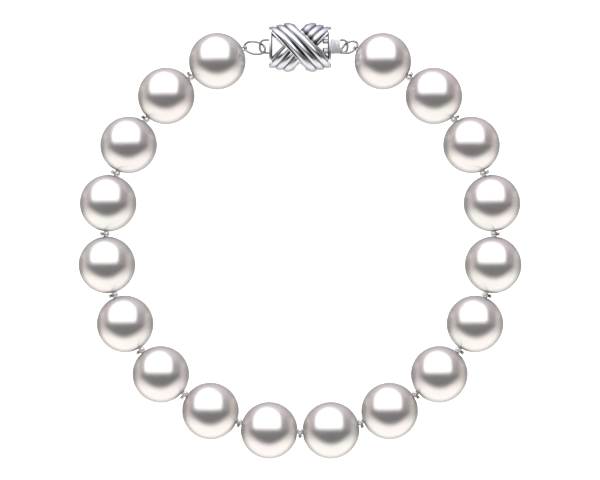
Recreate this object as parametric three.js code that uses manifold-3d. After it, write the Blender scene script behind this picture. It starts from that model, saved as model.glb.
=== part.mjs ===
// Knotted pearl bracelet with an openwork box clasp, lying flat and fastened.
// Millimetres. +Z up, +Y towards the clasp, +X towards the clasp's tongue end.
import * as THREE from 'three';
import { mergeVertices } from 'three/addons/utils/BufferGeometryUtils.js';
import Module from 'manifold-3d';

const wasm = await Module();
wasm.setup();

const { degToRad } = THREE.MathUtils;

// Pearls and their ring
const pearlCount = 18;
const pearlRadius = 4.25;
const drillRadius = 0.5;
const ringRadius = 29.13;
const claspArc = degToRad(50.26);
const pearlStep = (2 * Math.PI - claspArc) / (pearlCount - 1);
const pearlSegments = 16;
const pearlProfileSteps = 8;

// Silk thread and knots
const threadRadius = 0.16;
const threadRingRadius = 29.2;
const threadSides = 6;
const knotRadius = 0.6;
const knotThickness = 0.26;
const knotRingRadius = 28.86;
const loopThreadRadius = 0.11;
const loopRadius = 0.34;

// Clasp: the case is centred over the gap in the strand, and its frame rests on z = 0
const claspY = 28.62;
const wallOuterX = 4.63;
const wallThickness = 0.45;
const frameDepth = 1.0;
const railInnerY = 1.98;
const notchY = 2.42;
const notchHalfWidth = 0.6;
const shoulderY = 2.95;
const cornerY = 2.75;
const wallTopZ = 4.0;
const wallShoulderZ = 2.3;
const wallArchY = 1.65;

// Crossing bands of the clasp
const bandAngle = degToRad(47.7);
const strandPitch = 1.14;
const strandHalfWidth = 0.62;
const strandHalfHeight = 0.46;
const overBandTop = 4.15;
const underBandTop = 3.55;
const archFullness = 0.8;
const bandFootZ = 0.55;
const innerFootY = 3.12;
const scallopStep = 0.34;

// Loops, tongue and end links
const loopLevel = 3.0;
const wireRadius = 0.17;
const fixedLoopRootX = 4.4;
const fixedLoopBendX = 4.8;
const fixedLoopReach = 6.05;
const fixedLoopHalf = 0.98;
const tongueSlotHalfY = 1.3;
const tongueSlotLow = 2.5;
const tongueSlotHigh = 3.5;
const gripStart = 4.76;
const gripEnd = 6.05;
const gripHalfY = 1.12;
const gripHalfZ = 0.26;
const ribCount = 6;
const ribRadius = 0.11;
const ribInset = 0.05;
const prongTipX = 3.4;
const prongBladeHalf = 0.09;
const prongFold = 0.24;
const prongs = [{ lowY: -1.05, highY: -0.25 }, { lowY: 0.45, highY: 1.05 }];
const rootDepth = 0.2;
const endLoopBendX = 6.1;
const endLoopReach = 7.1;
const endLoopHalf = 0.97;
const pearlToWire = 0.1;
const leftLink = { tipX: -5.4, halfWidth: 1.18, roll: degToRad(-50), slide: -0.15 };
const rightLink = { tipX: 6.5, halfWidth: 1.12, roll: degToRad(-48), slide: 0 };
const claspLoopY = -0.03;

// Materials
const pearlMaterial = () => new THREE.MeshStandardMaterial({
  color: 0xe9e5e4, roughness: 0.22, metalness: 0.1,
});
const silkMaterial = () => new THREE.MeshStandardMaterial({
  color: 0xd9dcd4, roughness: 0.8, metalness: 0,
});
const goldMaterial = () => new THREE.MeshStandardMaterial({
  color: 0xd5d6dc, roughness: 0.12, metalness: 1,
});

// Angle of pearl i, counted from +Y and turning counter-clockwise
const pearlAngle = (i) => claspArc / 2 + i * pearlStep;

function onRing(radius, angle, z = pearlRadius) {
  return new THREE.Vector3(-radius * Math.sin(angle), radius * Math.cos(angle), z);
}

// A closed geometry becomes a solid, and a solid becomes a geometry again
function toSolid(geometry) {
  const bare = geometry.clone();
  bare.deleteAttribute('normal');
  bare.deleteAttribute('uv');
  const merged = mergeVertices(bare, 1e-4);
  const vertProperties = new Float32Array(merged.attributes.position.array);
  const triVerts = new Uint32Array(merged.index.array);
  return new wasm.Manifold(new wasm.Mesh({ numProp: 3, vertProperties, triVerts }));
}

function toGeometry(solid) {
  const mesh = solid.getMesh();
  const geometry = new THREE.BufferGeometry();
  geometry.setAttribute('position', new THREE.BufferAttribute(mesh.vertProperties, 3));
  geometry.setIndex(new THREE.BufferAttribute(mesh.triVerts, 1));
  geometry.computeVertexNormals();
  return geometry;
}

function union(geometries) {
  return geometries.map(toSolid).reduce((whole, next) => whole.add(next));
}

function box(lowX, highX, lowY, highY, lowZ, highZ) {
  const geometry = new THREE.BoxGeometry(highX - lowX, highY - lowY, highZ - lowZ);
  geometry.translate((lowX + highX) / 2, (lowY + highY) / 2, (lowZ + highZ) / 2);
  return geometry;
}

// A wire of round section along a smooth open path
function wire(points, radius, steps, sides = 8) {
  const section = new THREE.Shape();
  for (let k = 0; k < sides; k += 1) {
    const turn = (2 * Math.PI * k) / sides;
    const corner = [radius * Math.cos(turn), radius * Math.sin(turn)];
    if (k === 0) section.moveTo(...corner);
    else section.lineTo(...corner);
  }
  section.closePath();
  const extrudePath = new THREE.CatmullRomCurve3(points, false, 'centripetal');
  return new THREE.ExtrudeGeometry(section, { steps, extrudePath });
}

// Pearl: a sphere drilled through along its own Y axis
function pearlGeometry() {
  const rim = Math.asin(drillRadius / pearlRadius);
  const profile = [];
  for (let k = 0; k <= pearlProfileSteps; k += 1) {
    const polar = rim + ((Math.PI - 2 * rim) * k) / pearlProfileSteps;
    profile.push(new THREE.Vector2(
      pearlRadius * Math.sin(polar),
      -pearlRadius * Math.cos(polar),
    ));
  }
  profile.push(profile[0].clone());
  return new THREE.LatheGeometry(profile, pearlSegments);
}

function makePearl(index) {
  const pearl = new THREE.Mesh(pearlGeometry(), pearlMaterial());
  const angle = pearlAngle(index);
  pearl.name = `pearl_${String(index + 1).padStart(2, '0')}`;
  pearl.position.copy(onRing(ringRadius, angle));
  pearl.rotation.z = angle + Math.PI / 2;
  return pearl;
}

// Where the strand leaves an end pearl, and the wire of the link that it is tied to
function strandEnd(index) {
  const angle = pearlAngle(index);
  const outward = new THREE.Vector3(Math.cos(angle), Math.sin(angle), 0);
  if (index > 0) outward.negate();
  const centre = onRing(ringRadius, angle);
  const reach = pearlRadius + pearlToWire + wireRadius;
  const wireCentre = centre.clone().addScaledVector(outward, reach);
  return { centre, outward, wireCentre, reach };
}

// The frame of an end link: its long axis runs from the clasp's loop to the strand
function linkFrame(index, link) {
  const { wireCentre } = strandEnd(index);
  const claspTip = new THREE.Vector3(link.tipX, claspY + claspLoopY, loopLevel);
  const tips = index === 0 ? [wireCentre, claspTip] : [claspTip, wireCentre];
  const along = tips[1].clone().sub(tips[0]);
  const length = along.length();
  along.normalize();
  const across = new THREE.Vector3(0, 1, 0).addScaledVector(along, -along.y).normalize();
  across.applyAxisAngle(along, link.roll);
  const normal = new THREE.Vector3().crossVectors(along, across);
  const middle = tips[0].clone().add(tips[1]).multiplyScalar(0.5);
  middle.addScaledVector(across, link.slide);
  return { along, across, normal, middle, length };
}

// Link: a ring of wire, drawn out along or across its long axis to an oval
function makeLink(name, index, link) {
  const { along, across, normal, middle, length } = linkFrame(index, link);
  const halfAcross = (link.halfWidth - wireRadius) / Math.cos(link.roll);
  const halfAlong = length / 2;
  const radius = Math.min(halfAcross, halfAlong);
  const geometry = new THREE.TorusGeometry(radius, wireRadius, 8, 28);
  const position = geometry.attributes.position;
  const nearMiddle = 1e-4;
  for (let k = 0; k < position.count; k += 1) {
    const x = position.getX(k);
    const y = position.getY(k);
    if (Math.abs(x) > nearMiddle) position.setX(k, x + Math.sign(x) * (halfAlong - radius));
    if (Math.abs(y) > nearMiddle) position.setY(k, y + Math.sign(y) * (halfAcross - radius));
  }
  const ring = new THREE.Mesh(geometry, goldMaterial());
  ring.name = name;
  ring.quaternion.setFromRotationMatrix(new THREE.Matrix4().makeBasis(along, across, normal));
  ring.position.copy(middle);
  return ring;
}

// Thread loop: out of the end pearl's hole, round the link's wire and back
function threadLoop(index, link) {
  const { centre, outward, reach } = strandEnd(index);
  const { across } = linkFrame(index, link);
  const side = new THREE.Vector3().crossVectors(outward, across).normalize();
  const point = (out, aside) => centre.clone()
    .addScaledVector(outward, out)
    .addScaledVector(side, aside);
  const leg = [
    [0.6, 0.0],
    [1.3, 0.2],
    [2.2, loopRadius],
    [3.4, loopRadius],
    [reach, loopRadius],
  ];
  const points = leg.map(([out, aside]) => point(out, aside));
  for (const turn of [45, 90, 135]) {
    const angle = degToRad(turn);
    points.push(point(reach + loopRadius * Math.sin(angle), loopRadius * Math.cos(angle)));
  }
  leg.reverse();
  leg.pop();
  points.push(...leg.map(([out, aside]) => point(out, -aside)));
  return wire(points, loopThreadRadius, 30, 6);
}

function knotGeometry(index) {
  const angle = pearlAngle(index) + pearlStep / 2;
  const knot = new THREE.SphereGeometry(knotRadius, 8, 5);
  knot.scale(knotThickness / knotRadius, 1, 1);
  knot.rotateZ(angle);
  const { x, y, z } = onRing(knotRingRadius, angle);
  knot.translate(x, y, z);
  return knot;
}

function makeSilkStrand() {
  const points = [];
  const perPearl = 2;
  const overrun = 0.045;
  const first = pearlAngle(0) - overrun;
  const last = pearlAngle(pearlCount - 1) + overrun;
  const steps = perPearl * (pearlCount - 1);
  for (let k = 0; k <= steps; k += 1) {
    points.push(onRing(threadRingRadius, first + ((last - first) * k) / steps));
  }
  const pieces = [wire(points, threadRadius, steps, threadSides)];
  for (let i = 0; i < pearlCount - 1; i += 1) pieces.push(knotGeometry(i));
  pieces.push(threadLoop(0, leftLink));
  pieces.push(threadLoop(pearlCount - 1, rightLink));
  const strand = new THREE.Mesh(toGeometry(union(pieces)), silkMaterial());
  strand.name = 'silk_strand';
  return strand;
}

// Frame of the case: a flat ring with a notch between the bands at either side
function frameGeometry() {
  const outline = new THREE.Shape();
  outline.moveTo(-wallOuterX, -cornerY);
  outline.lineTo(-notchHalfWidth, -shoulderY);
  outline.lineTo(0, -notchY);
  outline.lineTo(notchHalfWidth, -shoulderY);
  outline.lineTo(wallOuterX, -cornerY);
  outline.lineTo(wallOuterX, cornerY);
  outline.lineTo(notchHalfWidth, shoulderY);
  outline.lineTo(0, notchY);
  outline.lineTo(-notchHalfWidth, shoulderY);
  outline.lineTo(-wallOuterX, cornerY);
  outline.closePath();
  const inside = new THREE.Path();
  const innerX = wallOuterX - wallThickness;
  inside.moveTo(-innerX, -railInnerY);
  inside.lineTo(-innerX, railInnerY);
  inside.lineTo(innerX, railInnerY);
  inside.lineTo(innerX, -railInnerY);
  inside.closePath();
  outline.holes.push(inside);
  return new THREE.ExtrudeGeometry(outline, { depth: frameDepth, bevelEnabled: false });
}

// End wall: a plate across the case with an arched top
function wallGeometry(side) {
  const plate = new THREE.Shape();
  plate.moveTo(-cornerY, 0);
  plate.lineTo(cornerY, 0);
  plate.lineTo(cornerY, wallShoulderZ);
  plate.quadraticCurveTo(wallArchY, wallTopZ, 0, wallTopZ);
  plate.quadraticCurveTo(-wallArchY, wallTopZ, -cornerY, wallShoulderZ);
  plate.closePath();
  const wall = new THREE.ExtrudeGeometry(plate, {
    depth: wallThickness, bevelEnabled: false, curveSegments: 6,
  });
  wall.rotateX(Math.PI / 2);
  wall.rotateZ(Math.PI / 2);
  wall.translate(side > 0 ? wallOuterX - wallThickness : -wallOuterX, 0, 0);
  return wall;
}

// One strand of a band: it crosses the case over a barrel-shaped arch.
// place is -1, 0 or 1 across the band, and lean is the way that the band slants.
function strandGeometry(lean, place, topZ) {
  const footLow = innerFootY - scallopStep * (1 - lean * place);
  const footHigh = innerFootY - scallopStep * (1 + lean * place);
  const middleX = (place * strandPitch) / Math.sin(bandAngle);
  const points = [];
  const steps = 12;
  for (let k = 0; k <= steps; k += 1) {
    const turn = Math.PI * (k / steps - 0.5);
    const y = (turn < 0 ? footLow : footHigh) * Math.sin(turn);
    const z = bandFootZ + (topZ - bandFootZ) * Math.max(Math.cos(turn), 0) ** archFullness;
    points.push(new THREE.Vector3(middleX + (lean * y) / Math.tan(bandAngle), y, z));
  }
  const section = new THREE.Shape();
  const sides = 8;
  for (let k = 0; k < sides; k += 1) {
    const turn = (2 * Math.PI * (k + 0.5)) / sides;
    const corner = [strandHalfWidth * Math.cos(turn), strandHalfHeight * Math.sin(turn)];
    if (k === 0) section.moveTo(...corner);
    else section.lineTo(...corner);
  }
  section.closePath();
  const extrudePath = new THREE.CatmullRomCurve3(points);
  return new THREE.ExtrudeGeometry(section, { steps: steps + 2, extrudePath });
}

// Band: three strands side by side, with their ends stepped out towards the middle
function bandGeometries(lean, topZ) {
  return [-1, 0, 1].map((place) => strandGeometry(lean, place, topZ));
}

// A loop of wire that stands out flat from the clasp
function loopGeometry(rootX, bendX, reachX, half) {
  const points = [new THREE.Vector3(rootX, claspLoopY - half, loopLevel)];
  const steps = 8;
  const square = 0.7;
  for (let k = 0; k <= steps; k += 1) {
    const turn = Math.PI * (k / steps - 0.5);
    const rise = Math.sin(turn);
    points.push(new THREE.Vector3(
      bendX + (reachX - bendX) * Math.max(Math.cos(turn), 0) ** square,
      claspLoopY + half * Math.sign(rise) * Math.abs(rise) ** square,
      loopLevel,
    ));
  }
  points.push(new THREE.Vector3(rootX, claspLoopY + half, loopLevel));
  return wire(points, wireRadius, 24);
}

function makeClaspCase() {
  const solids = [
    frameGeometry(),
    wallGeometry(-1),
    wallGeometry(1),
    ...bandGeometries(-1, overBandTop),
    ...bandGeometries(1, underBandTop),
  ];
  const slot = box(
    wallOuterX - 1.5 * wallThickness,
    wallOuterX + wallThickness,
    claspLoopY - tongueSlotHalfY,
    claspLoopY + tongueSlotHalfY,
    tongueSlotLow,
    tongueSlotHigh,
  );
  const fixedLoop = loopGeometry(
    -fixedLoopRootX,
    -fixedLoopBendX,
    -fixedLoopReach,
    fixedLoopHalf,
  );
  const whole = union(solids).subtract(toSolid(slot)).add(toSolid(fixedLoop));
  const claspCase = new THREE.Mesh(toGeometry(whole), goldMaterial());
  claspCase.name = 'clasp_case';
  return claspCase;
}

// Prong: a blade folded back on itself like a hairpin
function prongGeometry(lowY, highY) {
  const half = prongBladeHalf;
  const fold = prongFold;
  const rootX = gripStart + rootDepth;
  const bendX = prongTipX + fold + half;
  const quarter = Math.PI / 2;
  const profile = new THREE.Shape();
  profile.moveTo(rootX, -fold - half);
  profile.absarc(bendX, 0, fold + half, -quarter, -3 * quarter, true);
  profile.lineTo(rootX, fold + half);
  profile.lineTo(rootX, fold - half);
  profile.absarc(bendX, 0, fold - half, quarter, 3 * quarter, false);
  profile.lineTo(rootX, -fold + half);
  profile.closePath();
  const prong = new THREE.ExtrudeGeometry(profile, {
    depth: highY - lowY, bevelEnabled: false, curveSegments: 6,
  });
  prong.rotateX(Math.PI / 2);
  prong.translate(0, highY, loopLevel);
  return prong;
}

function ribGeometry(index) {
  const x = gripStart + ((gripEnd - gripStart) * (index + 0.5)) / ribCount;
  const rib = new THREE.CylinderGeometry(ribRadius, ribRadius, 2 * (gripHalfY - ribInset), 8);
  rib.translate(x, claspLoopY, loopLevel + gripHalfZ);
  return rib;
}

function makeClaspTongue() {
  const pieces = [
    box(
      gripStart,
      gripEnd,
      claspLoopY - gripHalfY,
      claspLoopY + gripHalfY,
      loopLevel - gripHalfZ,
      loopLevel + gripHalfZ,
    ),
    ...prongs.map(({ lowY, highY }) => prongGeometry(claspLoopY + lowY, claspLoopY + highY)),
    loopGeometry(gripEnd - rootDepth, endLoopBendX, endLoopReach, endLoopHalf),
  ];
  for (let i = 0; i < ribCount; i += 1) pieces.push(ribGeometry(i));
  const tongue = new THREE.Mesh(toGeometry(union(pieces)), goldMaterial());
  tongue.name = 'clasp_tongue';
  return tongue;
}

// Assembly
const bracelet = new THREE.Group();
for (let i = 0; i < pearlCount; i += 1) bracelet.add(makePearl(i));
bracelet.add(makeSilkStrand());

const clasp = new THREE.Group();
clasp.add(makeClaspCase());
clasp.add(makeClaspTongue());
clasp.position.y = claspY;
bracelet.add(clasp);

bracelet.add(makeLink('link_left', 0, leftLink));
bracelet.add(makeLink('link_right', pearlCount - 1, rightLink));

// The origin is the middle of the whole outline, on the surface that it lies on
const outline = new THREE.Box3().setFromObject(bracelet, true);
const middle = outline.getCenter(new THREE.Vector3());
bracelet.position.set(-middle.x, -middle.y, 0);
bracelet.updateMatrixWorld(true);

export default bracelet;
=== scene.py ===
import math
import bpy
from mathutils import Matrix, Vector


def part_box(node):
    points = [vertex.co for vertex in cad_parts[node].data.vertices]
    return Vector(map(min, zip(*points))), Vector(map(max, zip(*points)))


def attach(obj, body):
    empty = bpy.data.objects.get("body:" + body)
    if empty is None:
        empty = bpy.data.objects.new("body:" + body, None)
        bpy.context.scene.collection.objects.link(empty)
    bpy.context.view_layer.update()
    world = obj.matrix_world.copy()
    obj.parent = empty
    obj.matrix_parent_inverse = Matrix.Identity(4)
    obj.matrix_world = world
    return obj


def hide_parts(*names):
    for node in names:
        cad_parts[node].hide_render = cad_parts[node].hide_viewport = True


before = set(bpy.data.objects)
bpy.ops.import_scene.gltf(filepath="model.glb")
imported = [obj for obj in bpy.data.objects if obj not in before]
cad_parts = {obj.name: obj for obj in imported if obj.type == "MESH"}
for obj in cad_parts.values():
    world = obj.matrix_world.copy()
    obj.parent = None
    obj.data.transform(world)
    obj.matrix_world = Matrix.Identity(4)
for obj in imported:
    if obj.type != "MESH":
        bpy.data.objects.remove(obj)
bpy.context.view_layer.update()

millimetre = 0.001
weldDistance = 1e-7  # metres


def mm(value):
    return value * millimetre


def lengths(*values):
    return Vector([mm(value) for value in values])


def deselectAll():
    bpy.ops.object.select_all(action="DESELECT")


def makeActive(piece):
    deselectAll()
    piece.select_set(True)
    bpy.context.view_layer.objects.active = piece


def newest(name):
    piece = bpy.context.object
    piece.name = name
    piece.data.name = name
    return piece


def pickVertices(piece, wanted):
    # edit mode on, with only the vertices that pass the test selected
    makeActive(piece)
    bpy.ops.object.mode_set(mode="EDIT")
    bpy.ops.mesh.select_mode(type="VERT")
    bpy.ops.mesh.select_all(action="DESELECT")
    bpy.ops.object.mode_set(mode="OBJECT")
    for vertex in piece.data.vertices:
        vertex.select = bool(wanted(vertex.co))
    bpy.ops.object.mode_set(mode="EDIT")


def leaveEdit():
    bpy.ops.object.mode_set(mode="OBJECT")


def applyPlace(piece):
    makeActive(piece)
    bpy.ops.object.transform_apply(location=True, rotation=True, scale=True)
    return piece


def placeBy(piece, matrix):
    piece.matrix_world = matrix
    applyPlace(piece)


def applyModifier(piece, kind, **settings):
    makeActive(piece)
    modifier = piece.modifiers.new(kind.title(), kind)
    for key, value in settings.items():
        setattr(modifier, key, value)
    bpy.ops.object.modifier_apply(modifier=modifier.name)
    return piece


def bevelEdges(piece, width, segments, angle):
    return applyModifier(
        piece, "BEVEL", width=mm(width), segments=segments,
        limit_method="ANGLE", angle_limit=math.radians(angle))


def joinPieces(name, pieces):
    makeActive(pieces[0])
    for piece in pieces[1:]:
        piece.select_set(True)
    bpy.ops.object.join()
    return newest(name)


def smooth(piece, angle):
    makeActive(piece)
    bpy.ops.object.shade_smooth_by_angle(angle=math.radians(angle))


def evenNormals(piece):
    # large flat faces stay flat beside their rounded edges
    applyModifier(piece, "WEIGHTED_NORMAL", keep_sharp=True, weight=100)


def finishPiece(piece, node, material):
    piece.data.materials.clear()
    piece.data.materials.append(material)
    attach(piece, "root")
    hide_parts(node)


def plate(name, corners, depth):
    # a flat plate in XY from its corners, thickened upward
    bpy.ops.mesh.primitive_circle_add(vertices=len(corners), radius=mm(1), fill_type="NGON")
    piece = newest(name)
    for vertex, corner in zip(piece.data.vertices, corners):
        vertex.co = lengths(corner[0], corner[1], 0)
    pickVertices(piece, lambda co: True)
    bpy.ops.mesh.extrude_region_move(TRANSFORM_OT_translate={"value": (0, 0, mm(depth))})
    bpy.ops.mesh.select_all(action="SELECT")
    bpy.ops.mesh.normals_make_consistent(inside=False)
    leaveEdit()
    return piece


def block(name, low, high):
    low = lengths(*low)
    high = lengths(*high)
    bpy.ops.mesh.primitive_cube_add(size=1, location=(low + high) / 2)
    piece = newest(name)
    piece.scale = high - low
    return applyPlace(piece)


def sweep(name, points, section, closed=False, upright=True):
    # a section drawn out along a path, as a mesh
    curve = bpy.data.curves.new(name, "CURVE")
    curve.dimensions = "3D"
    curve.twist_mode = "Z_UP" if upright else "MINIMUM"
    curve.bevel_mode = "OBJECT"
    curve.bevel_object = section
    curve.use_fill_caps = not closed
    line = curve.splines.new("POLY")
    line.points.add(len(points) - 1)
    line.use_cyclic_u = closed
    for index, point in enumerate(points):
        line.points[index].co = (*point, 1)
    piece = bpy.data.objects.new(name, curve)
    bpy.context.scene.collection.objects.link(piece)
    makeActive(piece)
    bpy.ops.object.convert(target="MESH")
    piece = newest(name)
    pickVertices(piece, lambda co: True)
    bpy.ops.mesh.remove_doubles(threshold=weldDistance)
    bpy.ops.mesh.normals_make_consistent(inside=False)
    leaveEdit()
    return piece


def sectionCurve(name, corners):
    curve = bpy.data.curves.new(name, "CURVE")
    curve.dimensions = "2D"
    line = curve.splines.new("POLY")
    line.points.add(len(corners) - 1)
    line.use_cyclic_u = True
    for index, corner in enumerate(corners):
        line.points[index].co = (mm(corner[0]), mm(corner[1]), 0, 1)
    piece = bpy.data.objects.new(name, curve)
    bpy.context.scene.collection.objects.link(piece)
    return piece


def roundSection(name, radius, sides):
    turns = [2 * math.pi * k / sides for k in range(sides)]
    return sectionCurve(name, [(radius * math.cos(t), radius * math.sin(t)) for t in turns])


def cut(piece, tool):
    applyModifier(piece, "BOOLEAN", object=tool, operation="DIFFERENCE", solver="EXACT")
    bpy.data.objects.remove(tool)
    return piece


def circleCentre(a, b, c):
    # centre of the circle through three points in plan
    ax, ay, bx, by, cx, cy = a.x, a.y, b.x, b.y, c.x, c.y
    fourAreas = 2 * (ax * (by - cy) + bx * (cy - ay) + cx * (ay - by))
    aSquare, bSquare, cSquare = ax * ax + ay * ay, bx * bx + by * by, cx * cx + cy * cy
    return Vector((
        (aSquare * (by - cy) + bSquare * (cy - ay) + cSquare * (ay - by)) / fourAreas,
        (aSquare * (cx - bx) + bSquare * (ax - cx) + cSquare * (bx - ax)) / fourAreas,
        a.z))


class Value:
    # a number socket that takes ordinary arithmetic
    def __init__(self, shader, socket):
        self.shader = shader
        self.socket = socket

    def maths(self, operation, *others):
        node = self.shader.node("Math", {"operation": operation}, (self, *others))
        return Value(self.shader, node.outputs[0])

    def __add__(self, other):
        return self.maths("ADD", other)

    def __radd__(self, other):
        return self.maths("ADD", other)

    def __sub__(self, other):
        return self.maths("SUBTRACT", other)

    def __rsub__(self, other):
        return (self * -1.0).maths("ADD", other)

    def __mul__(self, other):
        return self.maths("MULTIPLY", other)

    def __rmul__(self, other):
        return self.maths("MULTIPLY", other)

    def __truediv__(self, other):
        return self.maths("DIVIDE", other)

    def __pow__(self, other):
        return self.maths("POWER", other)

    def __abs__(self):
        return self.maths("ABSOLUTE")


class Shader:
    def __init__(self, tree):
        self.tree = tree
        tree.nodes.clear()

    def feed(self, slot, item):
        if isinstance(item, Value):
            self.tree.links.new(item.socket, slot)
        elif isinstance(item, bpy.types.NodeSocket):
            self.tree.links.new(item, slot)
        else:
            slot.default_value = item

    def node(self, kind, settings=None, inputs=(), **sockets):
        # settings first, then its sockets in order or by name
        node = self.tree.nodes.new("ShaderNode" + kind)
        for key, value in (settings or {}).items():
            setattr(node, key, value)
        for slot, item in zip(node.inputs, inputs):
            self.feed(slot, item)
        for key, item in sockets.items():
            self.feed(node.inputs[key.replace("_", " ")], item)
        return node

    def value(self, kind, output, settings=None, **sockets):
        return Value(self, self.node(kind, settings, **sockets).outputs[output])

    def step(self, value, low, high):
        # smooth rise from 0 to 1 between two values
        return self.value(
            "MapRange", 0, {"interpolation_type": "SMOOTHSTEP"},
            Value=value, From_Min=low, From_Max=high)

    def between(self, value, rise, fall):
        # rises over one range and falls again over the other
        return self.step(value, *rise) * (1.0 - self.step(value, *fall))

    def vary(self, noise, middle, spread):
        # a noise from 0 to 1, spread round a middle value
        return noise * spread + middle - spread / 2

    def blend(self, factor, first, second):
        node = self.node("Mix", {"data_type": "RGBA"})
        for index, item in ((0, factor), (6, first), (7, second)):  # its colour sockets
            self.feed(node.inputs[index], item)
        return node.outputs[2]

    def noise(self, scale, detail, roughness=0.5, stretch=None):
        place = self.node("TexCoord").outputs["Object"]
        if stretch:
            place = self.node("Mapping", Vector=place, Scale=stretch).outputs[0]
        return self.value(
            "TexNoise", 0, Vector=place, Scale=scale, Detail=detail, Roughness=roughness)


def newMaterial(name):
    material = bpy.data.materials.new(name)
    material.use_nodes = True
    return material, Shader(material.node_tree)


def surface(shader, **sockets):
    principled = shader.node("BsdfPrincipled", **sockets)
    shader.node("OutputMaterial", Surface=principled.outputs[0])


def bump(shader, height, distance, strength):
    return shader.node(
        "Bump", Height=height, Distance=mm(distance), Strength=strength).outputs[0]


def placeFrom(shader, centre):
    # place in millimetres: in plan from a centre, and in height from the floor
    place = shader.node("SeparateXYZ", Vector=shader.node("TexCoord").outputs["Object"])
    x = (Value(shader, place.outputs[0]) - centre.x) / millimetre
    y = (Value(shader, place.outputs[1]) - centre.y) / millimetre
    return x, y, Value(shader, place.outputs[2]) / millimetre


nacre = {
    "cream": (0.86, 0.835, 0.82, 1), "rose": (0.86, 0.815, 0.825, 1), "green": (0.81, 0.835, 0.81, 1),
    "driftScale": 140, "driftRange": (0.42, 0.62),
    "overtoneScale": 95, "overtoneRange": (0.52, 0.72), "overtoneDepth": 0.5,
    # hole: the near-black of the painted shade round the drill holes
    "hole": (0.06, 0.058, 0.055, 1), "holeShadeRange": (0.70, 0.88), "holeShadeDepth": 0.85,
    "metallic": 0.78, "gloss": 0.23, "glossSpread": 0.05, "coat": 0.12,
    "layerScale": 1500, "grainScale": 9000, "grainShare": 0.3, "relief": 0.004,
}


def pearlNacre():
    material, shader = newMaterial("pearlNacre")
    drift = shader.step(shader.noise(nacre["driftScale"], 2), *nacre["driftRange"])
    overtone = shader.step(shader.noise(nacre["overtoneScale"], 1), *nacre["overtoneRange"])
    tint = shader.blend(drift, nacre["cream"], nacre["rose"])
    tint = shader.blend(overtone * nacre["overtoneDepth"], tint, nacre["green"])
    # the UV map's second value runs from one drill hole to the other
    unwrapped = shader.node("TexCoord").outputs["UV"]
    holeToHole = shader.value("SeparateXYZ", 1, Vector=unwrapped)
    # painted shade: the caps round both drill holes, where each pearl meets its knots, are darkened
    # almost to black and lose their metallic gloss and coat, for the contact shadow there
    hole = shader.step(abs(holeToHole * 2.0 - 1.0), *nacre["holeShadeRange"]) * nacre["holeShadeDepth"]
    tint = shader.blend(hole, tint, nacre["hole"])
    layers = shader.noise(nacre["layerScale"], 3, 0.6)
    grain = shader.noise(nacre["grainScale"], 2, 0.6)
    height = layers * (1 - nacre["grainShare"]) + grain * nacre["grainShare"]
    surface(
        shader, Base_Color=tint, Metallic=(1.0 - hole) * nacre["metallic"],
        Roughness=shader.vary(layers, nacre["gloss"], nacre["glossSpread"]),
        Specular_IOR_Level=0.05, Coat_Weight=(1.0 - hole) * nacre["coat"], Coat_Roughness=0.12,
        Normal=bump(shader, height, nacre["relief"], 0.35))
    return material


silkLook = {
    "innerThread": ((0.90, 0.905, 0.89, 1), (1.0, 1.0, 0.985, 1)),
    "outerThread": ((0.10, 0.10, 0.095, 1), (0.82, 0.83, 0.80, 1)),
    "outerThreadRange": (29.15, 29.3),  # distance from the ring's centre
    "plyScale": 2600, "plyRange": (0.38, 0.62), "fibreScale": 9000, "fibreStretch": (1, 1, 0.35),
    "metallic": 0.45, "gloss": 0.22, "glossSpread": 0.2, "sheen": 0.5, "relief": 0.02,
}


def silkThread():
    # white towards the ring's centre, darker and striped by the plies along the outside of the strand
    material, shader = newMaterial("silkThread")
    x, y, _ = placeFrom(shader, ringCentre)
    fromCentre = (x * x + y * y) ** 0.5
    fibres = shader.noise(silkLook["fibreScale"], 3, 0.6, silkLook["fibreStretch"])
    plies = shader.step(shader.noise(silkLook["plyScale"], 2), *silkLook["plyRange"])
    innerThread = shader.blend(fibres, *silkLook["innerThread"])
    outerThread = shader.blend(plies, *silkLook["outerThread"])
    surface(
        shader, Base_Color=shader.blend(shader.step(fromCentre, *silkLook["outerThreadRange"]), innerThread, outerThread),
        Metallic=silkLook["metallic"], Sheen_Weight=silkLook["sheen"],
        Roughness=fibres * silkLook["glossSpread"] + silkLook["gloss"],
        Normal=bump(shader, fibres, silkLook["relief"], 0.6))
    return material


gold = {
    # low and high: the base colour, slightly darker towards -Y as painted shade; bright is also the
    # colour of the painted highlights
    "bright": (0.92, 0.93, 0.96, 1), "low": (0.74, 0.76, 0.82, 1), "high": (0.76, 0.79, 0.87, 1),
    # wire: the same white gold with a much darker base colour, painted shade; line: the near-black of
    # the painted shade and shadow lines
    "wire": (0.38, 0.38, 0.41, 1), "line": (0.02, 0.02, 0.025, 1),
    "gripLow": (0.88, 0.89, 0.92, 1), "gripHigh": (0.96, 0.97, 0.99, 1),
    "cloudScale": 700, "hairScale": 3000, "hairStretch": (1, 9, 1), "relief": 0.002,
    "satin": 0.34, "polish": 0.10, "wireGloss": 0.12, "gripGloss": 0.42,
    "cloudSpread": 0.05, "wireSpread": 0.06, "hairSpread": 0.05,
}

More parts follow.
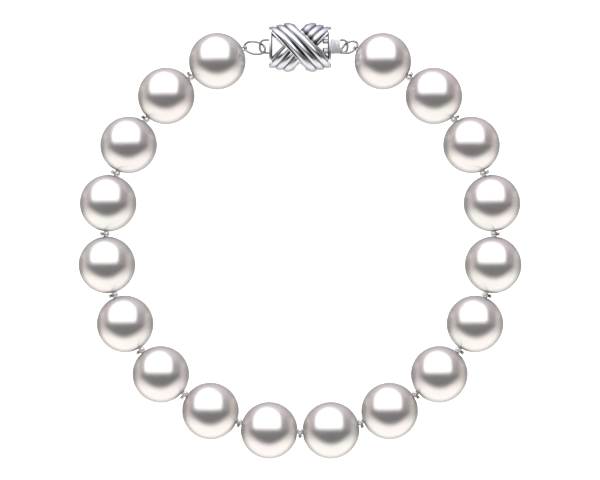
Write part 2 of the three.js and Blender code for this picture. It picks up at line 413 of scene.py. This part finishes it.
# places across one strand run from 0 to 1, and the others are in millimetres
strandLook = {
    "middle": (1.2, 2.6), "ends": (-2.4, 2.4), "offBand": 0.03,
    # the first range places the painted shade line on each strand, and tone places the painted highlight
    # over its other half; shine only sets the polish
    "strandShade": (0.10, 0.26), "tone": (0.30, 0.60), "shineFrom": (0.42, 0.56), "shineTo": (0.84, 0.94),
    # the fainter painted shade lines in the grooves between the strands
    "grooveShade": (0.84, 0.98), "grooveShadeDepth": 0.55, "grooveShadeInMiddle": 0.4,
    # rim: where the painted highlight along the bands' edges starts; the shadow ranges place the painted
    # shadow on the under band
    "rim": (0.04, 0.08), "shadowFrom": (0, 0.5), "shadowTo": (0.1, 0.9), "shadowDepth": 0.9,
    # where the painted shade line along each end wall's inner top edge falls, and where the loop's wire
    # colour starts
    "wallInside": 0.1, "wallShadeLine": (0.10, 0.18), "wallTop": (3.4, 3.6), "wallOutside": (0.02, 0.06),
}


def goldNoise(shader):
    cloud = shader.noise(gold["cloudScale"], 2)
    hairlines = shader.noise(gold["hairScale"], 2, 0.6, gold["hairStretch"])
    return cloud, hairlines, bump(shader, hairlines, gold["relief"], 0.25)


def stepBeyond(shader, value, start, reach):
    # a step whose range is measured from a start
    return shader.step(value, start + reach[0], start + reach[1])


def castWhiteGold():
    # bright middles and satin ends, with painted light: a painted highlight over half of each strand in
    # the middle and along the bands' edges; painted shade in dark lines on the strands, in the grooves,
    # along the end walls' inner tops and slightly towards -Y; and a painted shadow on the under band
    # beside the over band
    material, shader = newMaterial("castWhiteGold")
    cloud, _, normal = goldNoise(shader)
    x, y, z = placeFrom(shader, claspCentre)
    look, half = strandLook, band["half"]
    angle = math.radians(band["angle"])
    over = x * math.sin(angle) + y * math.cos(angle)
    under = y * math.cos(angle) - x * math.sin(angle)
    offOver = shader.step(abs(over), half, half + look["offBand"])
    offBoth = offOver * shader.step(abs(under), half, half + look["offBand"])
    across = over + (under - over) * offOver
    middle = 1.0 - shader.step(abs(y), *look["middle"])
    strand = (across / band["pitch"] + 0.5).maths("FRACT")
    # painted shade: a near-black line along one side of each strand in the middle, and fainter dark
    # lines in the grooves between the strands
    strandShade = 1.0 - shader.step(strand, *look["strandShade"])
    grooveShade = shader.step(abs(strand * 2.0 - 1.0), *look["grooveShade"]) * look["grooveShadeDepth"]
    line = strandShade * middle + grooveShade * (1.0 - middle * look["grooveShadeInMiddle"])
    shine = shader.between(strand, look["shineFrom"], look["shineTo"]) * middle
    # painted highlight: the brighter colour over one half of each strand in the middle
    tone = shader.step(strand, *look["tone"]) * middle
    shadow = offOver * shader.step(over, *look["shadowFrom"]) * (
        1.0 - stepBeyond(shader, over, half, look["shadowTo"]))
    # painted shade: the base colour runs slightly darker towards -Y
    tint = shader.blend(shader.step(y, *look["ends"]), gold["low"], gold["high"])
    tint = shader.blend(tone, tint, gold["bright"])
    tint = shader.blend(line.maths("MINIMUM", 1.0), tint, gold["line"])
    # painted highlight: the bright colour along the bands' edge ridges
    rim = stepBeyond(shader, abs(across), band["pitch"] * 1.5, look["rim"])
    tint = shader.blend(rim, tint, gold["bright"])
    tint = shader.blend(shadow * look["shadowDepth"], tint, gold["line"])
    tint = shader.blend(offBoth, tint, gold["bright"])
    # painted shade: a near-black line along the top of each end wall's inner edge
    inner = case["wallX"] - case["wall"]
    onWall = shader.step(abs(x), inner - look["wallInside"], inner) * offBoth
    wallShadeLine = onWall * shader.step(z, *look["wallTop"]) * (
        1.0 - stepBeyond(shader, abs(x), inner, look["wallShadeLine"]))
    tint = shader.blend(wallShadeLine, tint, gold["line"])
    # painted shade: the fixed loop takes the darker wire colour
    onLoop = stepBeyond(shader, abs(x), case["wallX"], look["wallOutside"])
    tint = shader.blend(onLoop, tint, gold["wire"])
    polish = shine * (1.0 - onWall)
    surface(
        shader, Base_Color=tint, Metallic=1.0,
        Roughness=shader.vary(cloud, gold["satin"], gold["cloudSpread"])
        + polish * (gold["polish"] - gold["satin"]),
        Normal=normal)
    return material


def wireWhiteGold():
    # painted shade: the links take the darker wire colour, a shaded copy of the case's white gold
    material, shader = newMaterial("wireWhiteGold")
    cloud, hairlines, normal = goldNoise(shader)
    roughness = cloud * gold["wireSpread"] + hairlines * gold["hairSpread"] + gold["wireGloss"]
    surface(shader, Base_Color=gold["wire"], Metallic=1.0, Roughness=roughness, Normal=normal)
    return material


def gripWhiteGold():
    # bright plate and prongs, with painted shade: the prongs inside the case are near-black along their
    # sides and round their tips, and the end loop takes the darker wire colour
    material, shader = newMaterial("gripWhiteGold")
    cloud, hairlines, normal = goldNoise(shader)
    x, y, _ = placeFrom(shader, claspCentre)
    side, tip = tongue["prongLine"], tongue["tipLine"]
    # painted shade: near-black along each prong's sides and round its tip, inside the case
    edge = 1.0
    for low, high in tongue["prongs"]:
        fromMiddle = abs(y - (loopSide + (low + high) / 2))
        edge = stepBeyond(shader, fromMiddle, (high - low) / 2, side) * edge
    edge = edge.maths("MAXIMUM", 1.0 - stepBeyond(shader, x, tongue["tip"], tip))
    edge = edge * (1.0 - stepBeyond(shader, x, tongue["start"], tongue["plateLine"]))
    tint = shader.blend(cloud, gold["gripLow"], gold["gripHigh"])
    tint = shader.blend(edge, tint, gold["line"])
    # painted shade: the end loop takes the darker wire colour
    tint = shader.blend(stepBeyond(shader, x, tongue["end"], tongue["loopLine"]), tint, gold["wire"])
    roughness = cloud * gold["wireSpread"] + hairlines * gold["hairSpread"] + gold["gripGloss"]
    surface(shader, Base_Color=tint, Metallic=1.0, Roughness=roughness, Normal=normal)
    return material


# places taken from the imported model
pearlCount = 18
pearlNodes = ["pearl_%02d" % number for number in range(1, pearlCount + 1)]
pearlCentres = []
for node in pearlNodes:
    low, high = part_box(node)
    pearlCentres.append((low + high) / 2)
ringCentre = circleCentre(pearlCentres[0], pearlCentres[pearlCount // 2 - 1], pearlCentres[-1])
caseLow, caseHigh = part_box("clasp_case")
claspCentre = Vector((0, (caseLow.y + caseHigh.y) / 2, 0))


def angleOf(point):
    # turn from +Y, counter-clockwise seen from above
    return math.atan2(-(point.x - ringCentre.x), point.y - ringCentre.y) % (2 * math.pi)


def onRing(radius, angle):
    return ringCentre + Vector((-math.sin(angle), math.cos(angle), 0)) * radius


pearl = {
    "radius": 4.25, "segments": 48, "rings": 26, "dimples": 0.010, "dimpleSize": 2.4,
    "rimBevel": 0.05, "spin": 137.5,
}


def pearlMaster():
    radius = mm(pearl["radius"])
    bpy.ops.mesh.primitive_uv_sphere_add(
        segments=pearl["segments"], ring_count=pearl["rings"], radius=radius)
    piece = newest("pearlMaster")
    pickVertices(piece, lambda co: abs(co.z) > radius * 0.9999)  # the poles, where the drill comes out
    bpy.ops.mesh.delete(type="VERT")
    bpy.ops.mesh.select_non_manifold()
    bpy.ops.mesh.bridge_edge_loops()
    leaveEdit()
    rimHeight = radius * math.cos(math.pi / pearl["rings"])
    pickVertices(piece, lambda co: abs(abs(co.z) - rimHeight) < mm(0.01))
    bpy.ops.mesh.bevel(offset=mm(pearl["rimBevel"]), segments=2)
    bpy.ops.mesh.select_all(action="SELECT")
    bpy.ops.mesh.normals_make_consistent(inside=False)
    leaveEdit()
    applyModifier(piece, "SUBSURF", levels=1, render_levels=1)
    dimples = bpy.data.textures.new("nacreDimples", "CLOUDS")
    dimples.noise_scale = mm(pearl["dimpleSize"])
    applyModifier(piece, "DISPLACE", texture=dimples, strength=mm(pearl["dimples"]), mid_level=0.5)
    makeActive(piece)
    bpy.ops.object.shade_smooth()
    return piece


def makePearls():
    master = pearlMaster()
    for number, (node, centre) in enumerate(zip(pearlNodes, pearlCentres)):
        makeActive(master)
        bpy.ops.object.duplicate(linked=False)
        piece = newest("pearl%02d" % (number + 1))
        alongThread = Matrix.Rotation(angleOf(centre) + math.pi / 2, 4, "Z")
        layDown = Matrix.Rotation(-math.pi / 2, 4, "X")
        spin = Matrix.Rotation(math.radians(pearl["spin"] * number), 4, "Z")
        placeBy(piece, Matrix.Translation(centre) @ alongThread @ layDown @ spin)
        piece.visible_glossy = False
        finishPiece(piece, node, pearlFinish)
    bpy.data.objects.remove(master)


pearlFinish = pearlNacre()
makePearls()
print("pearls strung")


wire = {"radius": 0.18, "sides": 16, "pearlReach": 0.27, "linkSegments": 64, "squareness": 0.7}
loopLevel = 3.0
loopSide = -0.03
leftLink = {"tip": -5.4, "half": 1.18, "roll": -50, "slide": -0.15}
rightLink = {"tip": 6.5, "half": 1.12, "roll": -48, "slide": 0}


def strandEnd(index):
    # drill axis of an end pearl, and the middle of the link's wire outside it
    centre = pearlCentres[index]
    angle = angleOf(centre)
    outward = Vector((math.cos(angle), math.sin(angle), 0))
    if index > 0:
        outward.negate()
    reach = mm(pearl["radius"] + wire["pearlReach"])
    return centre, outward, centre + outward * reach, reach


def linkFrame(index, link):
    atPearl = strandEnd(index)[2]
    atClasp = claspCentre + lengths(link["tip"], loopSide, loopLevel)
    start, stop = (atPearl, atClasp) if index == 0 else (atClasp, atPearl)
    along = (stop - start).normalized()
    across = (Vector((0, 1, 0)) - along * along.y).normalized()
    across.rotate(Matrix.Rotation(math.radians(link["roll"]), 3, along))
    middle = (start + stop) / 2 + across * mm(link["slide"])
    return along, across, along.cross(across), middle, (stop - start).length


def makeLink(name, node, index, link):
    along, across, normal, middle, length = linkFrame(index, link)
    halfAcross = mm(link["half"] - wire["radius"]) / math.cos(math.radians(link["roll"]))
    halfAlong = length / 2
    radius = min(halfAcross, halfAlong)
    bpy.ops.mesh.primitive_torus_add(
        major_radius=radius, minor_radius=mm(wire["radius"]),
        major_segments=wire["linkSegments"], minor_segments=wire["sides"])
    piece = newest(name)
    for axis, half in ((0, halfAlong), (1, halfAcross)):  # the ring drawn out to an oval
        for side in (-1, 1):
            pickVertices(piece, lambda co: co[axis] * side > mm(0.001))
            move = [0, 0, 0]
            move[axis] = side * (half - radius)
            bpy.ops.transform.translate(value=move)
            leaveEdit()
    frameMatrix = Matrix((along, across, normal)).transposed().to_4x4()
    placeBy(piece, Matrix.Translation(middle) @ frameMatrix)
    smooth(piece, angle=40)
    finishPiece(piece, node, wireFinish)


wireSection = roundSection("wireSection", wire["radius"], wire["sides"])


def wireLoop(name, root, bend, reach, half):
    # out from the clasp, round in a squared bow, and back
    steps = 28
    square = wire["squareness"]
    points = [lengths(root, -half, 0)]
    for k in range(steps + 1):
        turn = math.pi * (k / steps - 0.5)
        rise = math.sin(turn)
        points.append(lengths(
            bend + (reach - bend) * max(math.cos(turn), 0) ** square,
            half * math.copysign(abs(rise) ** square, rise), 0))
    points.append(lengths(root, half, 0))
    shift = claspCentre + lengths(0, loopSide, loopLevel)
    return sweep(name, [shift + point for point in points], wireSection)


wireFinish = wireWhiteGold()
makeLink("linkLeft", "link_left", 0, leftLink)
makeLink("linkRight", "link_right", pearlCount - 1, rightLink)
print("links made")


silk = {
    "ringRadius": 29.2, "plyRadius": 0.09, "plyOffset": 0.085, "twist": 0.9, "endTurn": 0.045,
    "knotRing": 29.44, "knotTube": 0.12, "knotSpread": 0.14, "knotDepth": 0.14, "knotLean": 40,
    "coreRing": 28.88, "coreRadius": 0.42,
    "loopThread": 0.11, "loopRadius": 0.34,
    "loopLeg": ((0.6, 0), (1.3, 0.2), (2.2, 0.34), (3.4, 0.34)),  # out along the drill, and aside
}


def threadPly(number, section):
    # one of two plies twisted round each other through all the pearls
    first = angleOf(pearlCentres[0]) - silk["endTurn"]
    last = angleOf(pearlCentres[-1]) + silk["endTurn"]
    radius, offset = mm(silk["ringRadius"]), mm(silk["plyOffset"])
    turns = (last - first) * radius / mm(silk["twist"])
    steps = int(turns * 10)
    points = []
    for k in range(steps + 1):
        angle = first + (last - first) * k / steps
        twist = 2 * math.pi * (turns * k / steps + number / 2)
        point = onRing(radius + offset * math.cos(twist), angle)
        points.append(point + Vector((0, 0, offset * math.sin(twist))))
    return sweep("threadPly", points, section)


def knotTurns(index, middle, section):
    # a trefoil of thread on the outer side of the knot
    centre = onRing(mm(silk["knotRing"]), middle)
    outwards = onRing(1, middle) - ringCentre
    alongThread = Vector((-outwards.y, outwards.x, 0))
    lean = math.radians(silk["knotLean"] * index)
    steps = 72
    points = []
    for k in range(steps):
        turn = 2 * math.pi * k / steps
        a = silk["knotSpread"] * (math.sin(turn) + 2 * math.sin(2 * turn))
        b = silk["knotSpread"] * (math.cos(turn) - 2 * math.cos(2 * turn))
        out = a * math.cos(lean) - b * math.sin(lean)
        up = a * math.sin(lean) + b * math.cos(lean)
        depth = -silk["knotDepth"] * math.sin(3 * turn)
        points.append(
            centre + outwards * mm(out) + Vector((0, 0, mm(up))) + alongThread * mm(depth))
    return sweep("silkKnot", points, section, closed=True, upright=False)


def knotCore(middle):
    bpy.ops.mesh.primitive_uv_sphere_add(
        segments=20, ring_count=12, radius=mm(silk["coreRadius"]),
        location=onRing(mm(silk["coreRing"]), middle))
    return applyPlace(newest("knotCore"))


def endLoop(index, link, section):
    # out of the end pearl, round the link's wire and back in
    centre, outward, _, reach = strandEnd(index)
    across = linkFrame(index, link)[1]
    side = outward.cross(across).normalized()
    bow = mm(silk["loopRadius"])
    steps = 16
    points = [centre + outward * mm(out) + side * mm(aside) for out, aside in silk["loopLeg"]]
    for k in range(steps + 1):
        turn = math.pi * k / steps
        points.append(
            centre + outward * (reach + bow * math.sin(turn)) + side * bow * math.cos(turn))
    points += [
        centre + outward * mm(out) - side * mm(aside) for out, aside in reversed(silk["loopLeg"])]
    return sweep("endLoop", points, section, upright=False)


def makeSilk():
    plySection = roundSection("plySection", silk["plyRadius"], 8)
    knotSection = roundSection("knotSection", silk["knotTube"], 12)
    loopSection = roundSection("loopSection", silk["loopThread"], 10)
    pieces = [threadPly(0, plySection), threadPly(1, plySection)]
    for index in range(pearlCount - 1):
        middle = (angleOf(pearlCentres[index]) + angleOf(pearlCentres[index + 1])) / 2
        pieces.append(knotTurns(index, middle, knotSection))
        pieces.append(knotCore(middle))
    for index, link in ((0, leftLink), (pearlCount - 1, rightLink)):
        pieces.append(endLoop(index, link, loopSection))
    strand = joinPieces("silkStrand", pieces)
    smooth(strand, angle=60)
    for section in (plySection, knotSection, loopSection):
        bpy.data.objects.remove(section)
    finishPiece(strand, "silk_strand", silkThread())


makeSilk()
print("silk knotted")


case = {
    "wallX": 4.63, "wall": 0.45, "frameDepth": 1.0, "railY": 1.98, "lap": 0.02, "edgeRound": 0.05,
    "notchY": 2.42, "notchHalf": 0.6, "shoulderY": 2.95, "cornerY": 2.75,
    "wallTop": 4.0, "wallShoulder": 2.3, "archSides": 0.75, "archCrown": 0.9,
}
fixedLoop = {"root": -4.4, "bend": -4.8, "reach": -6.05, "half": 0.98}
band = {
    "angle": 47.7, "half": 1.74, "pitch": 1.02, "overTop": 4.45, "underTop": 3.85,
    "footZ": 0.30, "reach": (3.0, 3.3, 3.58), "fullness": 0.8, "thick": 0.42, "trimX": 4.69,
    "dome": 0.42, "roundness": 1.9, "sink": 0.12, "endFlat": 0.55, "edgeDrop": 0.26, "ridge": 0.10,
    "lineDepth": 0.035, "linePlace": 0.38, "lineWidth": 0.07, "stepSlope": 0.06,
    "along": 72, "across": 84,
}


def caseFrame():
    # its ends stand just inside the end walls' faces
    x, corner, shoulder = case["wallX"] - case["lap"], case["cornerY"], case["shoulderY"]
    notch, half = case["notchY"], case["notchHalf"]
    outline = [
        (-x, -corner), (-half, -shoulder), (0, -notch), (half, -shoulder), (x, -corner),
        (x, corner), (half, shoulder), (0, notch), (-half, shoulder), (-x, corner)]
    ring = plate("caseFrame", outline, case["frameDepth"])
    inner = case["wallX"] - case["wall"] + case["lap"]
    hole = block(
        "frameHole", (-inner, -case["railY"], -1), (inner, case["railY"], case["frameDepth"] + 1))
    return cut(ring, hole)


def caseWall(side):
    # an arched end wall, drawn flat and stood up
    corner, top, shoulder = case["cornerY"], case["wallTop"], case["wallShoulder"]
    arch = []
    steps = 14
    for k in range(steps + 1):
        turn = math.pi * k / steps
        arch.append((
            corner * math.copysign(abs(math.cos(turn)) ** case["archSides"], math.cos(turn)),
            shoulder + (top - shoulder) * math.sin(turn) ** case["archCrown"]))
    wall = plate("caseWall", [(-corner, case["lap"]), (corner, case["lap"]), *arch], case["wall"])
    x = case["wallX"] - case["wall"] if side > 0 else -case["wallX"]
    standUp = Matrix(((0, 0, 1, 0), (1, 0, 0, 0), (0, 1, 0, 0), (0, 0, 0, 1)))
    placeBy(wall, Matrix.Translation(lengths(x, 0, 0)) @ standUp)
    return wall


def bandRelief(across):
    # three domed strands with fine lines along them, and a lower ridge at either edge
    strandEdge = band["pitch"] * 1.5
    if abs(across) > strandEdge:
        outward = (abs(across) - strandEdge) / (band["half"] - strandEdge)
        return band["ridge"] * math.sin(math.pi * outward) - band["edgeDrop"]
    place = (across / band["pitch"] + 0.5) % 1 * 2 - 1
    line = band["lineDepth"] * math.exp(-((abs(place) - band["linePlace"]) / band["lineWidth"]) ** 2)
    return band["dome"] * (1 - abs(place) ** band["roundness"]) - line - band["sink"]


def bandReach(across, upper):
    # how far the band comes down the case's side: each strand ends in its own step
    strand = max(-1, min(1, across / band["pitch"])) * (1 if upper else -1)
    near = math.floor(strand + 0.5)
    blend = strand - near
    return band["reach"][near + 1] + band["stepSlope"] * blend * abs(blend)


def makeBand(name, lean, top):
    # a sheet laid over the barrel of the case, shaped strand by strand
    bpy.ops.mesh.primitive_grid_add(
        x_subdivisions=band["across"], y_subdivisions=band["along"], size=2)
    piece = newest(name)
    angle = math.radians(band["angle"])
    foot = band["footZ"]
    for vertex in piece.data.vertices:
        across = vertex.co.x * band["half"]
        turn = vertex.co.y * math.pi / 2
        reach = bandReach(across, upper=turn > 0)
        swell = bandRelief(across) * (1 - band["endFlat"] * math.sin(turn) ** 4)
        y = reach * math.sin(turn) + swell * math.sin(turn)
        rise = max(math.cos(turn), 0)
        z = foot + (top - foot) * rise ** band["fullness"] + swell * rise
        x = (across - math.cos(angle) * reach * math.sin(turn)) / math.sin(angle)
        vertex.co = lengths(-lean * x, y, z)
    pickVertices(piece, lambda co: True)
    bpy.ops.mesh.normals_make_consistent(inside=False)
    leaveEdit()
    if sum(face.normal.z for face in piece.data.polygons) < 0:
        pickVertices(piece, lambda co: True)
        bpy.ops.mesh.flip_normals()
        leaveEdit()
    applyModifier(piece, "SOLIDIFY", thickness=mm(band["thick"]), offset=-1)
    for side in (-1, 1):
        pickVertices(piece, lambda co: True)
        bpy.ops.mesh.bisect(
            plane_co=lengths(side * band["trimX"], 0, 0), plane_no=(side, 0, 0),
            clear_outer=True, use_fill=True, threshold=weldDistance)
        leaveEdit()
    piece.location = claspCentre
    return applyPlace(piece)


def makeCase():
    frameParts = [caseFrame(), caseWall(-1), caseWall(1)]
    for part in frameParts:
        part.location = claspCentre
        applyPlace(part)
        bevelEdges(part, case["edgeRound"], segments=2, angle=30)
    bands = [
        makeBand("overBand", -1, band["overTop"]),
        makeBand("underBand", 1, band["underTop"])]
    loop = wireLoop("fixedLoop", **fixedLoop)
    whole = joinPieces("claspCase", frameParts + bands + [loop])
    smooth(whole, angle=35)
    evenNormals(whole)
    finishPiece(whole, "clasp_case", castWhiteGold())


makeCase()
print("clasp case soldered")


tongue = {
    "start": 4.68, "end": 6.05, "half": 1.12, "thick": 0.26, "ribs": 6, "rib": 0.105, "ribShorter": 0.12,
    "tip": 3.4, "blade": 0.09, "fold": 0.24, "rootDepth": 0.2, "prongs": ((-1.05, -0.25), (0.45, 1.05)),
    "loopSink": 0.1, "loopNeck": 0.05, "reach": 7.1, "loopHalf": 0.97,
    "plateRound": 0.06, "ribRound": 0.03, "prongRound": 0.025,
    # where the painted shade along the prongs' sides and round their tips falls, and where it stops
    # before the plate
    "prongLine": (-0.14, -0.06), "tipLine": (0.10, 0.18), "plateLine": (-0.1, -0.05),
    "loopLine": (0.02, 0.05),
}


def prong(low, high):
    # a leaf folded back on itself at the tip, seen from the side
    half, fold = tongue["blade"], tongue["fold"]
    root = tongue["start"] + tongue["rootDepth"]
    bend = tongue["tip"] + fold + half
    steps = 12
    outer = []
    inner = []
    for k in range(steps + 1):
        turn = math.pi * (0.5 + k / steps)
        outer.append((bend + (fold + half) * math.cos(turn), (fold + half) * math.sin(turn)))
        inner.append((bend + (fold - half) * math.cos(turn), (fold - half) * math.sin(turn)))
    inner.reverse()
    outline = [
        (root, fold + half), *outer, (root, -fold - half),
        (root, half - fold), *inner, (root, fold - half)]
    piece = plate("tongueProng", outline, high - low)
    standUp = Matrix(((1, 0, 0, 0), (0, 0, 1, 0), (0, 1, 0, 0), (0, 0, 0, 1)))
    placeBy(piece, Matrix.Translation(claspCentre + lengths(0, loopSide + low, loopLevel)) @ standUp)
    return bevelEdges(piece, tongue["prongRound"], segments=2, angle=50)


def gripPlate():
    half, thick = tongue["half"], tongue["thick"]
    grip = block(
        "gripPlate", (tongue["start"], loopSide - half, loopLevel - thick),
        (tongue["end"], loopSide + half, loopLevel + thick))
    grip.location = claspCentre
    applyPlace(grip)
    return bevelEdges(grip, tongue["plateRound"], segments=3, angle=35)


def gripRib(number):
    spacing = (tongue["end"] - tongue["start"]) / tongue["ribs"]
    x = tongue["start"] + spacing * (number + 0.5)
    bpy.ops.mesh.primitive_cylinder_add(
        vertices=16, radius=mm(tongue["rib"]), depth=mm(2 * tongue["half"] - tongue["ribShorter"]),
        rotation=(math.pi / 2, 0, 0),
        location=claspCentre + lengths(x, loopSide, loopLevel + tongue["thick"]))
    return bevelEdges(applyPlace(newest("gripRib")), tongue["ribRound"], segments=2, angle=60)


def makeTongue():
    parts = [gripPlate()]
    parts += [gripRib(number) for number in range(tongue["ribs"])]
    parts += [prong(low, high) for low, high in tongue["prongs"]]
    parts.append(wireLoop(
        "endLoop", tongue["end"] - tongue["loopSink"], tongue["end"] + tongue["loopNeck"],
        tongue["reach"], tongue["loopHalf"]))
    whole = joinPieces("claspTongue", parts)
    smooth(whole, angle=35)
    evenNormals(whole)
    finishPiece(whole, "clasp_tongue", gripWhiteGold())


makeTongue()
bpy.data.objects.remove(wireSection)
print("tongue fitted")


floor = {"size": 3.0, "tone": (0.80, 0.80, 0.80, 1), "glow": 0.93, "drop": 0.02}


def makeFloor():
    bpy.ops.mesh.primitive_plane_add(size=floor["size"], location=(0, 0, -mm(floor["drop"])))
    piece = applyPlace(newest("floor"))
    material, shader = newMaterial("paleFloor")
    surface(
        shader, Base_Color=floor["tone"], Roughness=0.9,
        Emission_Color=(1, 1, 1, 1), Emission_Strength=floor["glow"])
    piece.data.materials.append(material)
    piece.visible_glossy = False


# what each part of the studio shows on a mirror ball: its colour, and where it starts and ends
studio = {
    "wallLeft": (0.36, 0.31, 0.33, 1), "wallRight": (0.24, 0.20, 0.215, 1), "wallTurn": (-0.4, 0.6),
    "back": (0.62, 0.55, 0.58, 1), "backRise": (0.2, 0.85),
    "flank": (0.50, 0.42, 0.40, 1), "flankSide": (0.62, 0.76),
    "patch": (0.80, 0.83, 0.78, 1), "patchSide": (0.72, 0.82), "patchFoot": (0.16, 0.28),
    "patchTop": (0.36, 0.50), "patchDepth": 0.8,
    "lens": (0.055, 0.055, 0.055, 1), "lensTop": 0.10, "lensFade": (0.0, 0.16),
    "floorNear": (1.30, 1.27, 1.22, 1), "floorFar": (0.54, 0.49, 0.46, 1), "floorFade": (-0.55, -0.05),
    "floorLine": 0.46, "floorCurve": 0.85, "floorEdge": (-0.14, 0.12),
    "box": (1.7, 1.7, 1.7, 1), "boxLeft": (-0.63, -0.53), "boxRight": (0.36, 0.48),
    "boxFoot": (-0.02, 0.18),
    "crown": (-0.06, 0.30), "crownEdge": (0.46, 0.57),
    "edge": (0.14, 0.125, 0.12, 1), "edgeLeft": (0.78, 0.92), "edgeRight": (0.84, 0.98),
    "edgeRightDepth": 0.6, "edgeFoot": (-0.55, -0.25), "edgeTop": (0.10, 0.30), "edgeDepth": 0.75,
    "rim": (0.16, 0.15, 0.15, 1), "rimEdge": (0.84, 1.0), "rimWiden": 1.12, "rimDepth": 0.7,
    "backdrop": 1.05,
}


def studioColour(shader, u, v):
    side = abs(u)
    rim = (u * u * studio["rimWiden"] + v * v) ** 0.5
    below = 1.0 - shader.step(
        v + studio["floorLine"] - u * u * studio["floorCurve"], *studio["floorEdge"])
    flank = shader.step(side, *studio["flankSide"])
    lens = shader.step(studio["lensTop"] - v, *studio["lensFade"]) * (1.0 - flank)
    acrossCrown = u - studio["crown"][0]
    upCrown = v - studio["crown"][1]
    crown = (acrossCrown * acrossCrown + upCrown * upCrown) ** 0.5
    box = shader.between(u, studio["boxLeft"], studio["boxRight"]) * shader.step(v, *studio["boxFoot"])
    box = box * (1.0 - shader.step(crown, *studio["crownEdge"]))
    patch = shader.step(side, *studio["patchSide"])
    patch = patch * shader.between(v, studio["patchFoot"], studio["patchTop"])
    edge = shader.step(u * -1.0, *studio["edgeLeft"])
    edge = edge + shader.step(u, *studio["edgeRight"]) * studio["edgeRightDepth"]
    edge = edge * shader.between(v, studio["edgeFoot"], studio["edgeTop"])
    toFar = shader.step(v, *studio["floorFade"])
    floorTone = shader.blend(toFar, studio["floorNear"], studio["floorFar"])
    colour = shader.blend(shader.step(u, *studio["wallTurn"]), studio["wallLeft"], studio["wallRight"])
    colour = shader.blend(shader.step(v, *studio["backRise"]), colour, studio["back"])
    colour = shader.blend(flank, colour, studio["flank"])
    colour = shader.blend(patch * studio["patchDepth"], colour, studio["patch"])
    colour = shader.blend(lens, colour, studio["lens"])
    colour = shader.blend(below, colour, floorTone)
    colour = shader.blend(box, colour, studio["box"])
    colour = shader.blend(edge * studio["edgeDepth"], colour, studio["edge"])
    return shader.blend(shader.step(rim, *studio["rimEdge"]) * studio["rimDepth"], colour, studio["rim"])


def makeStudio():
    # (u, v) is where a direction shows on a mirror ball seen from above
    world = bpy.data.worlds.new("studio")
    bpy.context.scene.world = world
    world.use_nodes = True
    shader = Shader(world.node_tree)
    direction = shader.node("TexCoord").outputs["Generated"]
    lifted = shader.node("VectorMath", {"operation": "ADD"}, (direction, (0, 0, 1.0001))).outputs[0]
    ball = shader.node("VectorMath", {"operation": "NORMALIZE"}, (lifted,)).outputs[0]
    parts = shader.node("SeparateXYZ", Vector=ball)
    colour = studioColour(shader, Value(shader, parts.outputs[0]), Value(shader, parts.outputs[1]))
    lit = shader.node("Background", Color=colour, Strength=1.0).outputs[0]
    plain = shader.node("Background", Color=(1, 1, 1, 1), Strength=studio["backdrop"]).outputs[0]
    seen = shader.node("LightPath").outputs["Is Camera Ray"]
    mixed = shader.node("MixShader", None, (seen, lit, plain)).outputs[0]
    shader.node("OutputWorld", Surface=mixed)


view = {
    "width": 89.64, "lens": 180, "sensor": 36, "level": 4.25, "centre": (-0.01, -0.025),
    "near": 0.01, "far": 10,
}


def makeCamera():
    camera = bpy.data.cameras.new("camera")
    camera.lens = view["lens"]
    camera.sensor_width = view["sensor"]
    camera.clip_start = view["near"]
    camera.clip_end = view["far"]
    holder = bpy.data.objects.new("camera", camera)
    bpy.context.scene.collection.objects.link(holder)
    distance = view["width"] * view["lens"] / view["sensor"]
    holder.location = lengths(*view["centre"], view["level"] + distance)
    bpy.context.scene.camera = holder


makeFloor()
makeStudio()
makeCamera()
bpy.context.scene.view_settings.view_transform = "Standard"
print("studio ready")
